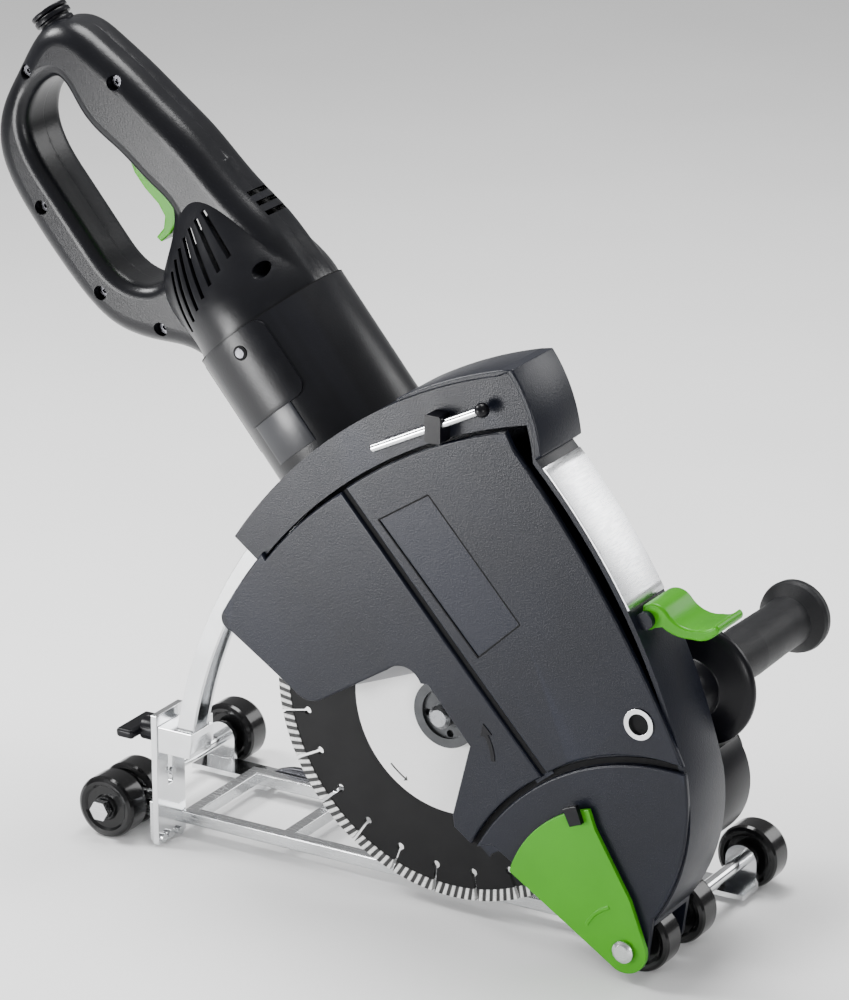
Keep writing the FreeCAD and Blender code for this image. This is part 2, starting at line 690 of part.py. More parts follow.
HANDLE_HALF = 20.5
HANDLE_WALL = 3.2
OUTER_ROUND = 13.0
LOOP_ROUND = 8.0
VENTS = 7
VENT_W = 2.8
SCREW_Z = -13.0
SCREW_SPOTS = [(444, -38), (406, 11), (376.5, -82), (315.5, -80), (277, -58), (267.5, 33)]
OUTER = [(246, 46.5), (272, 45), (292, 43), (310, 39), (330, 35.5), (356, 32), (380, 26.5), (405, 20.5),
         (432, 12.5), (450, 4), (458, -10), (456, -28), (449, -47), (443, -62.5), (435, -76), (421.5, -88),
         (400, -95.5), (377, -97.5), (334, -97), (315.5, -95), (296, -89), (282, -79), (270, -66),
         (258, -53), (246, -46.5)]
LOOP = [(432, -26), (431, -44), (422, -58), (405, -65.5), (382, -67), (340, -67), (322, -65.5), (308, -58),
        (300, -44), (306, -24), (326, -6), (348, -9.5), (373, -15), (408, -22)]


def smooth(points, closed):
    curve = Part.BSplineCurve()
    curve.interpolate([vec(p[0], p[1], 0) for p in points], PeriodicFlag=closed)
    return curve.toShape()


def moved_sideways(points, distance):
    """Shift each point to the right of the path by distance."""
    shifted = []
    count = len(points)
    for i in range(count):
        before = points[i - 1]
        after = points[(i + 1) % count]
        ds = after[0] - before[0]
        dt = after[1] - before[1]
        size = math.hypot(ds, dt)
        shifted.append((points[i][0] + distance * dt / size, points[i][1] - distance * ds / size))
    return shifted


def handle_blank(inset, depth):
    """D-handle slab: outer curve and loop, both moved by inset, depth either way."""
    rim = moved_sideways(OUTER, inset)
    rim[0] = (SEAM_S + inset, OUTER[0][1] - inset)
    rim[-1] = (SEAM_S + inset, OUTER[-1][1] + inset)
    end = Part.makeLine(vec(rim[-1][0], rim[-1][1], 0), vec(rim[0][0], rim[0][1], 0))
    outer = Part.Face(Part.Wire([smooth(rim, False), end]))
    loop = Part.Face(Part.Wire([smooth(moved_sideways(LOOP, -inset), True)]))
    face = outer.cut(loop).Faces[0]
    face.translate(vec(0, 0, -depth))
    return face.extrude(vec(0, 0, 2 * depth))


def oval(s, t, half_t, half_z):
    """Oval wire across the motor line, as a smooth closed curve that always starts on top."""
    points = []
    for i in range(16):
        a = math.pi * i / 8
        points.append(vec(s, t + half_t * math.cos(a), half_z * math.sin(a)))
    curve = Part.BSplineCurve()
    curve.interpolate(points, PeriodicFlag=True)
    return Part.Wire([curve.toShape()])


def bell(inset):
    """Round motor end that narrows into the handle."""
    sections = [(SEAM_S, 0, 46.6, 46.5), (268, -1, 45.6, 44), (292, -4, 43.6, 36), (316, 4, 33, 24),
                (334, 12, 24, 18)]
    wires = [oval(s, t, a - inset, b - inset) for s, t, a, b in sections]
    return Part.makeLoft(wires, True, False)


def handle_solid(inset):
    slab = handle_blank(inset, HANDLE_HALF - inset)
    slab = soften(slab, OUTER_ROUND - inset, lambda e: e.BoundBox.ZLength < 0.01 and e.Length > 430)
    if not inset:
        slab = soften(slab, LOOP_ROUND, lambda e: e.BoundBox.ZLength < 0.01 and 300 < e.Length < 345)
    return slab.fuse(bell(inset))


def screw_posts(radius, z0, z1):
    posts = [Part.makeCylinder(radius, z1 - z0, vec(s, t, z0), vec(0, 0, 1)) for s, t in SCREW_SPOTS]
    return several(posts)


def vents():
    """Fan of slits over the lower near side of the bell."""
    slits = []
    for i in range(VENTS):
        s1, t1 = 316 - 1.2 * i - 0.3 * i * i, 16 - 6 * i
        s0, t0 = 284 - 3.6 * i, 21.5 - 8 * i
        slit = Part.makeBox(math.hypot(s1 - s0, t1 - t0), VENT_W, 48, vec(0, -VENT_W / 2, -60))
        slit.rotate(vec(0, 0, 0), vec(0, 0, 1), math.degrees(math.atan2(t1 - t0, s1 - s0)))
        slit.translate(vec(s0, t0, 0))
        slits.append(slit)
    return several(slits)


def top_slots():
    return several([Part.makeBox(3.2, 30, 24, vec(292.5 + 7.5 * i, 31, -8)) for i in range(3)])


def handle_shell(side):
    """One half of the rear handle; side is -1 for the blade side and 1 for the far side."""
    body = handle_solid(0)
    loop = Part.Face(Part.Wire([smooth(LOOP, True)]))
    loop.translate(vec(0, 0, -60))
    body = body.cut(loop.extrude(vec(0, 0, 120)))
    body = body.cut(handle_solid(HANDLE_WALL).cut(screw_posts(6.4, -30, 30)))
    body = body.cut(trigger_slot()).cut(top_slots())
    body = body.cut(along(11, 446, 480, -14))
    body = body.cut(Part.makeCylinder(1.6, 32, vec(368, -10, -16), vec(0, 0, 1)))
    body = body.cut(screw_posts(1.8, -20, 13))
    if side < 0:
        body = body.cut(screw_posts(4.4, -60, SCREW_Z)).cut(vents())
    half = Part.makeBox(400, 400, 100, vec(200, -200, 0 if side > 0 else -100))
    return to_motor(body.common(half))


def trigger_slot():
    return Part.makeBox(58, 30, 21, vec(317, -30, -10.5))


def trigger():
    outline = [(373, -16), (360, -19.5), (349, -19.5), (337, -17.5), (329, -18.5), (324, -24), (322.5, -32),
               (318.5, -31), (318.8, -22), (323, -10), (326, 2), (350, 2), (372, -4)]
    wire = Part.makePolygon([vec(a, b, -9.5) for a, b in outline + [outline[0]]])
    body = Part.Face(wire).extrude(vec(0, 0, 19))
    body = body.cut(Part.makeCylinder(1.55, 40, vec(368, -10, -20), vec(0, 0, 1)))
    return to_motor(body)


def switch_block():
    return to_motor(Part.makeBox(44, 14, 24, vec(332, 9, -12)))


def inlet_gland():
    """Ribbed inlet collar at the top of the handle."""
    collar = along(10.9, 447, 453, -14).fuse(along(9.5, 453, 466, -14))
    for radius, start, end in ((10.8, 455.5, 458.5), (11.5, 460.5, 463.5), (11.5, 464.5, 467)):
        collar = collar.fuse(along(radius, start, end, -14))
    return to_motor(collar.cut(along(4.2, 440, 480, -14)))


def handle_screws():
    """Pan-head screws that join the two halves of the rear handle."""
    heads = []
    for s, t in SCREW_SPOTS:
        head = Part.makeCylinder(3.6, 2.4, vec(s, t, SCREW_Z - 2.4), vec(0, 0, 1))
        shank = Part.makeCylinder(1.7, 25, vec(s, t, SCREW_Z), vec(0, 0, 1))
        socket = Part.makeCylinder(1.5, 1.4, vec(s, t, SCREW_Z - 2.5), vec(0, 0, 1))
        heads.append(head.fuse(shank).cut(socket))
    return to_motor(several(heads))


# ---------------------------------------------------------------- blade

def blade_core():
    disc = ring(0, BLADE_Z, BLADE_R - 7, SPINDLE_R, -BLADE_T / 2, BLADE_T / 2)
    cutters = []
    for i in range(SLOTS):
        a = 360.0 * i / SLOTS + 5.0
        inner = pol(BLADE_R - 17, a, (0, BLADE_Z))
        cutters.append(rod(inner[0], inner[1], 2.4, -5, 5))
        slot = box(BLADE_R - 17, BLADE_R, -5, 5, -0.9, 0.9)
        slot.rotate(vec(0, 0, 0), vec(0, 1, 0), -a)
        slot.translate(vec(0, 0, BLADE_Z))
        cutters.append(slot)
    return disc.cut(several(cutters))


def blade_segments():
    pieces = []
    half = 180.0 / SLOTS - 0.5
    for i in range(SLOTS):
        a = 360.0 * (i + 0.5) / SLOTS + 5.0
        pieces.append(arc_slab(BLADE_R - 7, BLADE_R, a - half, a + half, -1.7, 1.7, (0, BLADE_Z)))
    return several(pieces)


def blade_label():
    return ring(0, BLADE_Z, LABEL_R, FLANGE_R, -BLADE_T / 2 - 0.4, -BLADE_T / 2)


def inner_flange():
    return ring(0, BLADE_Z, FLANGE_R, SPINDLE_R, BLADE_T / 2, 8)


def outer_flange():
    nut = ring(0, BLADE_Z, FLANGE_R, SPINDLE_R, -8, -BLADE_T / 2)
    nut = nut.cut(ring(0, BLADE_Z, 15, 9, -9, -6))
    for a in (100, 190, 280, 10):
        x, z = pol(12.5, a, (0, BLADE_Z))
        nut = nut.cut(rod(x, z, 2.2, -10, -3))
    return nut


os.makedirs("parts", exist_ok=True)

save("base_frame", base_frame())
save("upright_plate", upright_plate())
save("arc_rail", arc_rail())
save("rail_clamp", rail_clamp())
save("clamp_knob", clamp_knob())
save("near_brackets", near_brackets())
save("far_brackets", far_brackets())
save("frame_stay", frame_stay())
save("rear_axle", rear_axle())
save("front_axle", front_axle())
save("base_fasteners", base_fasteners())
for name, x, y in (("rear_near_a", REAR_X, NEAR_A_Y), ("rear_near_b", REAR_X, REAR_B_Y),
                   ("rear_far", REAR_X, FAR_ROLLER_Y), ("front_near_a", PIVOT_X, NEAR_A_Y),
                   ("front_near_b", PIVOT_X, FRONT_B_Y), ("front_far", PIVOT_X, FAR_ROLLER_Y)):
    save("roller_" + name, roller(x, y))

save("guard_shell", guard_shell())
save("upper_cover", upper_cover())
save("wing_cover", wing_cover())
save("nose_cover", nose_cover())
save("rim_strip", rim_strip())
save("hood_cap", hood_cap())
save("key_clip", key_clip())
save("hex_key", hex_key())
save("key_ball", key_ball())
save("hinge_pins", hinge_pins())
save("green_lever", green_lever())
save("green_flap", green_flap())
save("flap_clip", flap_clip())
save("dust_port", dust_port())
save("handle_bolt", handle_bolt())
save("hand_guard", hand_guard())
save("aux_grip", aux_grip())

save("gear_housing", gear_housing())
save("gear_cover", gear_cover())
save("spindle", spindle())
save("crown_gear", crown_gear())
save("pinion", pinion())
save("armature_shaft", armature_shaft())
save("armature_core", several([armature_core(), windings()]))
save("commutator", commutator())
save("fan", fan())
save("bearings", bearings())
save("motor_housing", motor_housing())
save("stator", stator())
save("brush_gear", brush_gear())
save("brush_cover", brush_cover())
save("plates", plates())
save("handle_shell_near", handle_shell(-1))
save("handle_shell_far", handle_shell(1))
save("trigger", trigger())
save("switch_block", switch_block())
save("inlet_gland", inlet_gland())
save("handle_screws", handle_screws())

save("blade_core", blade_core())
save("blade_segments", blade_segments())
save("blade_label", blade_label())
save("inner_flange", inner_flange())
save("outer_flange", outer_flange())
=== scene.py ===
import json
import math

import bmesh
import bpy
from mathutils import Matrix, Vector


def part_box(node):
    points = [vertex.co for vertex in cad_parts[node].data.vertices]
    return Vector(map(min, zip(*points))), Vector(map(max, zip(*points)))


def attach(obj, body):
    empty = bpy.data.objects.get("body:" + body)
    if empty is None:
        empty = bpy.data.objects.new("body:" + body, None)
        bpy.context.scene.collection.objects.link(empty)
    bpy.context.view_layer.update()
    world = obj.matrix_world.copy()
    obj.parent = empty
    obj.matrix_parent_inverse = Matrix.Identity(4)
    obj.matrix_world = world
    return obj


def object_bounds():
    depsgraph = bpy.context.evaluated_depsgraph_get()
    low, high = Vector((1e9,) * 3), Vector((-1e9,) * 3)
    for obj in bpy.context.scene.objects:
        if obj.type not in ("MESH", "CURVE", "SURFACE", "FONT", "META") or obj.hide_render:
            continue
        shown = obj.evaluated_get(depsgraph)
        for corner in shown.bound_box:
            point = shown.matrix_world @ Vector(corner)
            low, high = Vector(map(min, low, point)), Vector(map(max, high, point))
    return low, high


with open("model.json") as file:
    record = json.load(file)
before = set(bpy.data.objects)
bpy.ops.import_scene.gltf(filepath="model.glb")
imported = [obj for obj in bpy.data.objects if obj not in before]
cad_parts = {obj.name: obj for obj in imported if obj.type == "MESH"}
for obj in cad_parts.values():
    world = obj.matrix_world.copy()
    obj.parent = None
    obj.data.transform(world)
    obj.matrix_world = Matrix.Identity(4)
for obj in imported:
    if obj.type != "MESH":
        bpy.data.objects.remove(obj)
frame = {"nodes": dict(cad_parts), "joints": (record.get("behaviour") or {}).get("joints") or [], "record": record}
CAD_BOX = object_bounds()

NODES = frame["nodes"]
MM = 0.001

# ------------------------------------------------------------------ places taken from the frame


def box_mid(node):
    low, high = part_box(node)
    return (Vector(low) + Vector(high)) / 2


def joint(name):
    return next(j for j in frame["joints"] if j["name"] == name)


BLADE = box_mid("blade_core")
AUX = box_mid("aux_grip")
MOTOR_AXIS = Vector(joint("armature_spin")["axis"]).normalized()
MOTOR_UP = Vector((MOTOR_AXIS.z, 0, -MOTOR_AXIS.x))
MOTOR_Y = joint("armature_spin")["pos_m"][1]
COVER_Y = (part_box("upper_cover")[0][1] - BLADE.y) / MM
SEGMENTS = 25
COLLAR_RECESS = 2.5
SEAM_START = 245.6
SEAM_END = 246.3


def on_blade(x, y, z):
    """Point given in millimetres from the blade's centre."""
    return BLADE + Vector((x, y, z)) * MM


def at(x, y, z):
    """Point in millimetres: x and y from the blade's centre, z from the ground."""
    return Vector((BLADE.x + x * MM, BLADE.y + y * MM, z * MM))


def on_motor(s, t, y):
    """Point in millimetres: s along the motor from the blade axis, t up-front, y away."""
    base = Vector((BLADE.x, MOTOR_Y, BLADE.z))
    return base + (MOTOR_AXIS * s + MOTOR_UP * t + Vector((0, 1, 0)) * y) * MM


# ------------------------------------------------------------------ materials


class Nodes:
    """Small helper that wires a Principled material."""

    def __init__(self, name):
        self.mat = bpy.data.materials.new(name)
        self.mat.use_nodes = True
        self.tree = self.mat.node_tree
        self.bsdf = self.tree.nodes["Principled BSDF"]
        self.coords = self.tree.nodes.new("ShaderNodeTexCoord").outputs["Object"]

    def node(self, kind, **values):
        n = self.tree.nodes.new(kind)
        for key, value in values.items():
            if key in n.inputs:
                n.inputs[key].default_value = value
            else:
                setattr(n, key, value)
        return n

    def link(self, a, b):
        self.tree.links.new(a, b)

    def noise(self, scale, detail=3.0, rough=0.55, stretch=None):
        n = self.node("ShaderNodeTexNoise", Scale=scale, Detail=detail, Roughness=rough)
        source = self.coords
        if stretch:
            mapping = self.node("ShaderNodeMapping")
            mapping.inputs["Scale"].default_value = stretch
            self.link(source, mapping.inputs["Vector"])
            source = mapping.outputs["Vector"]
        self.link(source, n.inputs["Vector"])
        return n.outputs["Fac"]

    def ramp(self, factor, low, high, start=0.35, end=0.65):
        n = self.node("ShaderNodeValToRGB")
        n.color_ramp.elements[0].position = start
        n.color_ramp.elements[1].position = end
        n.color_ramp.elements[0].color = low
        n.color_ramp.elements[1].color = high
        self.link(factor, n.inputs["Fac"])
        return n.outputs["Color"]

    def mix(self, factor, a, b):
        n = self.node("ShaderNodeMix", data_type="RGBA")
        self.link(factor, n.inputs[0])
        self.link(a, n.inputs[6])
        self.link(b, n.inputs[7])
        return n.outputs[2]

    def mix_multiply(self, a, b):
        n = self.node("ShaderNodeMix", data_type="RGBA", blend_type="MULTIPLY")
        n.inputs[0].default_value = 1.0
        self.link(a, n.inputs[6])
        self.link(b, n.inputs[7])
        return n.outputs[2]

    def math(self, operation, a, b=None):
        n = self.node("ShaderNodeMath", operation=operation)
        for slot, value in zip(n.inputs, (a, b)):
            if isinstance(value, (int, float)):
                slot.default_value = value
            elif value is not None:
                self.link(value, slot)
        return n.outputs[0]

    def bump(self, height, strength, distance, normal=None):
        n = self.node("ShaderNodeBump", Strength=strength, Distance=distance)
        self.link(height, n.inputs["Height"])
        if normal is not None:
            self.link(normal, n.inputs["Normal"])
        return n.outputs["Normal"]

    def edge_wear(self, low=0.52, high=0.62):
        geometry = self.node("ShaderNodeNewGeometry")
        return self.ramp(geometry.outputs["Pointiness"], (0, 0, 0, 1), (1, 1, 1, 1), low, high)


def grey(value, alpha=1.0):
    return (value, value, value, alpha)


def shade(colour, factor):
    return tuple(min(1.0, c * factor) for c in colour) + (1.0,)


def plastic(name, colour, rough, grain=0.0, grain_scale=900, coat=0.0, worn=1.35, spread=0.10, specular=0.5):
    """Moulded plastic: faint colour mottle, rubbed edges, grained or smooth skin."""
    m = Nodes(name)
    mottle = m.noise(28, 4)
    base = m.ramp(mottle, shade(colour, 1 - spread), shade(colour, 1 + spread))
    edges = m.edge_wear()
    worn_colour = m.node("ShaderNodeRGB")
    worn_colour.outputs[0].default_value = shade(colour, worn)
    m.link(m.mix(edges, base, worn_colour.outputs[0]), m.bsdf.inputs["Base Color"])
    smudge = m.noise(60, 5)
    m.link(m.ramp(smudge, grey(rough - 0.02), grey(rough + 0.02)), m.bsdf.inputs["Roughness"])
    if grain:
        fine = m.noise(grain_scale, 2)
        m.link(m.bump(fine, grain, 0.0006), m.bsdf.inputs["Normal"])
    m.bsdf.inputs["Specular IOR Level"].default_value = specular
    if coat:
        m.bsdf.inputs["Coat Weight"].default_value = coat
        m.bsdf.inputs["Coat Roughness"].default_value = 0.12
    return m.mat


def metal(name, colour, rough, stretch=(1, 1, 1), brushed=0.0, scale=220, spread=0.08, wear=1.1):
    """Bare or plated metal with tool marks along one direction and duller patches."""
    m = Nodes(name)
    m.bsdf.inputs["Metallic"].default_value = 1.0
    patches = m.noise(35, 4)
    base = m.ramp(patches, shade(colour, 1 - spread), shade(colour, 1 + spread))
    m.link(base, m.bsdf.inputs["Base Color"])
    marks = m.noise(scale, 6, 0.7, stretch)
    m.link(m.ramp(marks, grey(max(0.03, rough * 0.75)), grey(rough * 1.3)), m.bsdf.inputs["Roughness"])
    if brushed:
        m.link(m.bump(marks, brushed, 0.0002), m.bsdf.inputs["Normal"])
    return m.mat


def painted_steel(name, colour, rough, grain=0.05):
    m = Nodes(name)
    m.bsdf.inputs["Metallic"].default_value = 0.55
    rings = m.noise(90, 5, 0.65)
    m.link(m.ramp(rings, shade(colour, 0.85), shade(colour, 1.18)), m.bsdf.inputs["Base Color"])
    m.link(m.ramp(m.noise(300, 4), grey(rough - 0.07), grey(rough + 0.07)), m.bsdf.inputs["Roughness"])
    m.link(m.bump(m.noise(900, 3), grain, 0.0003), m.bsdf.inputs["Normal"])
    return m.mat


def windings(name, colour):
    m = Nodes(name)
    m.bsdf.inputs["Metallic"].default_value = 1.0
    wave = m.node("ShaderNodeTexWave", Scale=700, Distortion=1.5)
    m.link(m.coords, wave.inputs["Vector"])
    m.link(m.ramp(wave.outputs["Fac"], shade(colour, 0.5), shade(colour, 1.2)), m.bsdf.inputs["Base Color"])
    m.bsdf.inputs["Roughness"].default_value = 0.38
    return m.mat


def blade_angle(m):
    """Angle round the blade axis (radians) and distance from it (metres), from the mesh's own coordinates."""
    split = m.node("ShaderNodeSeparateXYZ")
    m.link(m.coords, split.inputs[0])
    dx = m.math("SUBTRACT", split.outputs["X"], BLADE.x)
    dz = m.math("SUBTRACT", split.outputs["Z"], BLADE.z)
    angle = m.math("ARCTAN2", dz, dx)
    radius = m.math("SQRT", m.math("ADD", m.math("MULTIPLY", dx, dx), m.math("MULTIPLY", dz, dz)))
    return angle, radius, dx, dz


def turbo_rim(name, light, dark, stripes, skew):
    """Sintered segments with slanted notches: light ribs, hollows painted near-black as painted shade, coarse
    grit.
    """
    m = Nodes(name)
    m.bsdf.inputs["Metallic"].default_value = 0.1
    angle, radius, _, _ = blade_angle(m)
    turn = m.math("ADD", m.math("MULTIPLY", angle, stripes / (2 * math.pi)), m.math("MULTIPLY", radius, skew))
    wave = m.math("PINGPONG", turn, 0.5)
    # painted shade: the notch hollows take the near-black second colour, the ribs the light one
    ribs = m.ramp(wave, shade(dark, 1), shade(light, 1), 0.20, 0.28)
    rise = m.ramp(wave, grey(0), grey(1), 0.17, 0.31)
    grit = m.noise(1300, 6, 0.75)
    speckle = m.ramp(grit, grey(0.55), grey(1.0), 0.35, 0.65)
    m.link(m.mix_multiply(ribs, speckle), m.bsdf.inputs["Base Color"])
    m.link(m.bump(grit, 0.4, 0.0004, m.bump(rise, 0.8, 0.0012)), m.bsdf.inputs["Normal"])
    m.bsdf.inputs["Roughness"].default_value = 0.5
    return m.mat


def disc_steel(name, colour, rough):
    """Dark blade core: fine rings left by grinding, faint mottle."""
    m = Nodes(name)
    m.bsdf.inputs["Metallic"].default_value = 0.25
    _, radius, _, _ = blade_angle(m)
    rings = m.node("ShaderNodeTexNoise", noise_dimensions="1D", Scale=2600, Detail=4)
    m.link(radius, rings.inputs["W"])
    mottle = m.noise(45, 5)
    tint = m.mix_multiply(m.ramp(mottle, shade(colour, 0.88), shade(colour, 1.1)),
                          m.ramp(rings.outputs["Fac"], grey(0.8), grey(1.0)))
    m.link(tint, m.bsdf.inputs["Base Color"])
    m.bsdf.inputs["Specular IOR Level"].default_value = 0.15
    m.link(m.ramp(rings.outputs["Fac"], grey(rough - 0.08), grey(rough + 0.08)), m.bsdf.inputs["Roughness"])
    m.link(m.bump(rings.outputs["Fac"], 0.15, 0.0002), m.bsdf.inputs["Normal"])
    return m.mat


def printed_label(name, white, tint):
    """Blank printed disc: white with one grey chord, satin film over it."""
    m = Nodes(name)
    _, _, dx, dz = blade_angle(m)
    chord = m.math("ADD", m.math("MULTIPLY", dx, -0.366), m.math("MULTIPLY", dz, 0.930))
    mask = m.math("GREATER_THAN", chord, 25.1 * MM)
    paper = m.ramp(m.noise(50, 4), shade(white, 0.97), shade(white, 1.0))
    ink = m.ramp(m.noise(90, 4), shade(tint, 0.95), shade(tint, 1.05))
    m.link(m.mix(mask, paper, ink), m.bsdf.inputs["Base Color"])
    m.link(m.ramp(m.noise(70, 3), grey(0.30), grey(0.40)), m.bsdf.inputs["Roughness"])
    m.bsdf.inputs["Specular IOR Level"].default_value = 0.4
    return m.mat


GUARD_BLUE = (0.0052, 0.0063, 0.0115)
MOTOR_BLUE = (0.0036, 0.0038, 0.0054)
GREEN = (0.040, 0.260, 0.0015)

MATERIALS = {
    "chrome_steel": metal("chrome_steel", (0.76, 0.77, 0.78), 0.14, (1, 1, 6), 0.04, 160),
    "zinc_steel": metal("zinc_steel", (0.62, 0.63, 0.64), 0.24, (0.3, 4, 4), 0.08, 240),
    "dark_screw": metal("dark_screw", (0.10, 0.10, 0.11), 0.34),
    "roller_black": plastic("roller_black", (0.0030, 0.0030, 0.0033), 0.22, coat=0.3, worn=2.0, specular=0.2),
    "guard_plastic": plastic("guard_plastic", GUARD_BLUE, 0.31, grain=0.22, grain_scale=1100, worn=1.6,
                             specular=0.24),
    "strip_silver": metal("strip_silver", (0.86, 0.87, 0.89), 0.30, (6, 0.4, 6), 0.10, 260),
    "dark_plastic": plastic("dark_plastic", (0.0030, 0.0030, 0.0046), 0.32, grain=0.06, specular=0.2),
    "grip_rubber": plastic("grip_rubber", (0.0050, 0.0052, 0.0065), 0.48, grain=0.35, grain_scale=1800,
                           specular=0.25),
    "green_plastic": plastic("green_plastic", GREEN, 0.36, grain=0.05, worn=1.12, spread=0.05, specular=0.25),
    "motor_plastic": plastic("motor_plastic", MOTOR_BLUE, 0.30, grain=0.10, worn=1.5, specular=0.28),
    "gear_alloy": painted_steel("gear_alloy", (0.008, 0.0085, 0.011), 0.36),
    "hard_steel": metal("hard_steel", (0.24, 0.245, 0.255), 0.30, (1, 8, 1), 0.08),
    "bearing_steel": metal("bearing_steel", (0.75, 0.76, 0.77), 0.16),
    "lamination": painted_steel("lamination", (0.12, 0.12, 0.13), 0.5),
    "copper": windings("copper", (0.75, 0.33, 0.16)),
    "blade_steel": disc_steel("blade_steel", (0.010, 0.010, 0.0105), 0.50),
    # the near-black second colour is painted shade in the notches of the segments
    "diamond_rim": turbo_rim("diamond_rim", (0.80, 0.80, 0.79), (0.012, 0.012, 0.012), SEGMENTS * 6, 60),
    "label_white": printed_label("label_white", (0.86, 0.86, 0.86), (0.30, 0.30, 0.31)),
    "flange_grey": painted_steel("flange_grey", (0.045, 0.047, 0.050), 0.40),
    "fan_plastic": plastic("fan_plastic", (0.05, 0.05, 0.05), 0.5),
    "plate_foil": plastic("plate_foil", (0.012, 0.013, 0.017), 0.30, specular=0.4),
}
# Near-black used as painted shade in grooves, recesses and behind the slits, and for the dark seam round the motor
# and the lines round the cover panel.
SHADOW_RUBBER = plastic("shadow_rubber", (0.003, 0.003, 0.0035), 0.7, worn=1.2, specular=0.15)
PRINT_BLACK = plastic("print_black", (0.015, 0.015, 0.016), 0.45, worn=1.1)
SLOT_OF = {s["node"]: s["material_slot"] for s in frame["record"]["subparts"]}


def paint(obj, slot):
    obj.data.materials.clear()
    obj.data.materials.append(MATERIALS[slot])


# ------------------------------------------------------------------ CAD nodes that stay

ROUNDED = {
    "guard_shell": 0.8, "upper_cover": 0.5, "wing_cover": 0.5, "nose_cover": 0.5, "hood_cap": 1.0,
    "green_lever": 1.0, "green_flap": 0.4, "flap_clip": 0.5, "upright_plate": 0.4, "rail_clamp": 0.5,
    "base_frame": 0.2, "hand_guard": 0.8, "outer_flange": 0.5, "inner_flange": 0.4, "dust_port": 0.6,
    "gear_housing": 0.8, "gear_cover": 0.6, "motor_housing": 0.5, "brush_cover": 0.4, "trigger": 1.2,
    "rim_strip": 0.3, "far_brackets": 0.4, "near_brackets": 0.3, "base_fasteners": 0.3, "arc_rail": 0.4,
    "handle_bolt": 0.4, "clamp_knob": 0.3, "frame_stay": 0.5, "handle_shell_near": 0.45,
    "handle_shell_far": 0.45, "inlet_gland": 0.6, "key_clip": 0.5, "plates": 0.15,
}


def round_edges(obj, width, angle=32):
    """Weld the imported facets, then soften the sharp edges."""
    weld = obj.modifiers.new("weld", "WELD")
    weld.merge_threshold = 1e-6
    bevel = obj.modifiers.new("bevel", "BEVEL")
    bevel.width = width * MM
    bevel.segments = 3
    bevel.limit_method = "ANGLE"
    bevel.angle_limit = math.radians(angle)
    bevel.harden_normals = False
    bevel.use_clamp_overlap = True


for name, obj in NODES.items():
    paint(obj, SLOT_OF[name])
    if name in ROUNDED:
        round_edges(obj, ROUNDED[name])

# ------------------------------------------------------------------ added detail


def add_mesh(name, mesh, material, body, bevel=0.0):
    obj = bpy.data.objects.new(name, mesh)
    bpy.context.scene.collection.objects.link(obj)
    mesh.materials.append(material)
    if bevel:
        soft = obj.modifiers.new("bevel", "BEVEL")
        soft.width = bevel * MM
        soft.segments = 3
        soft.angle_limit = math.radians(40)
    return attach(obj, body)


def slab(name, outline, y0, y1, material, body, place=at, bevel=0.0):
    """Closed outline of (x, z) points in millimetres, given depth from y0 to y1."""
    count = len(outline)
    points = [place(x, y, z) for y in (y0, y1) for x, z in outline]
    faces = [tuple(range(count)), tuple(reversed(range(count, 2 * count)))]
    faces += [(i, count + i, count + (i + 1) % count, (i + 1) % count) for i in range(count)]
    mesh = bpy.data.meshes.new(name)
    mesh.from_pydata(points, [], faces)
    tidy_normals(mesh)
    return add_mesh(name, mesh, material, body, bevel)


def tidy_normals(mesh):
    work = bmesh.new()
    work.from_mesh(mesh)
    bmesh.ops.recalc_face_normals(work, faces=work.faces)
    work.to_mesh(mesh)
    work.free()


def ribbon(points, width):
    """Outline of a strip of even width along a line of (x, z) points."""
    left, right = [], []
    for i, here in enumerate(points):
        before = points[max(i - 1, 0)]
        after = points[min(i + 1, len(points) - 1)]
        dx, dz = after[0] - before[0], after[1] - before[1]
        size = math.hypot(dx, dz)
        nx, nz = -dz / size * width / 2, dx / size * width / 2
        left.append((here[0] + nx, here[1] + nz))
        right.append((here[0] - nx, here[1] - nz))
    return left + right[::-1]


def arc_points(start, middle, end, count=24):
    """Points on the circle through three (x, z) points."""
    (ax, az), (bx, bz), (cx, cz) = start, middle, end
    d = 2 * (ax * (bz - cz) + bx * (cz - az) + cx * (az - bz))
    aa, bb, cc = ax * ax + az * az, bx * bx + bz * bz, cx * cx + cz * cz
    ux = (aa * (bz - cz) + bb * (cz - az) + cc * (az - bz)) / d
    uz = (aa * (cx - bx) + bb * (ax - cx) + cc * (bx - ax)) / d
    radius = math.hypot(ax - ux, az - uz)
    a0 = math.atan2(az - uz, ax - ux)
    a2 = math.atan2(cz - uz, cx - ux)
    a1 = math.atan2(bz - uz, bx - ux)
    while a1 < a0:
        a1 += 2 * math.pi
    while a2 < a0:
        a2 += 2 * math.pi
    if a1 > a2:
        a2 -= 2 * math.pi
    steps = [a0 + (a2 - a0) * i / count for i in range(count + 1)]
    return [(ux + radius * math.cos(a), uz + radius * math.sin(a)) for a in steps]


def circle(x, z, radius, count=32):
    return [(x + radius * math.cos(2 * math.pi * i / count), z + radius * math.sin(2 * math.pi * i / count))
            for i in range(count)]


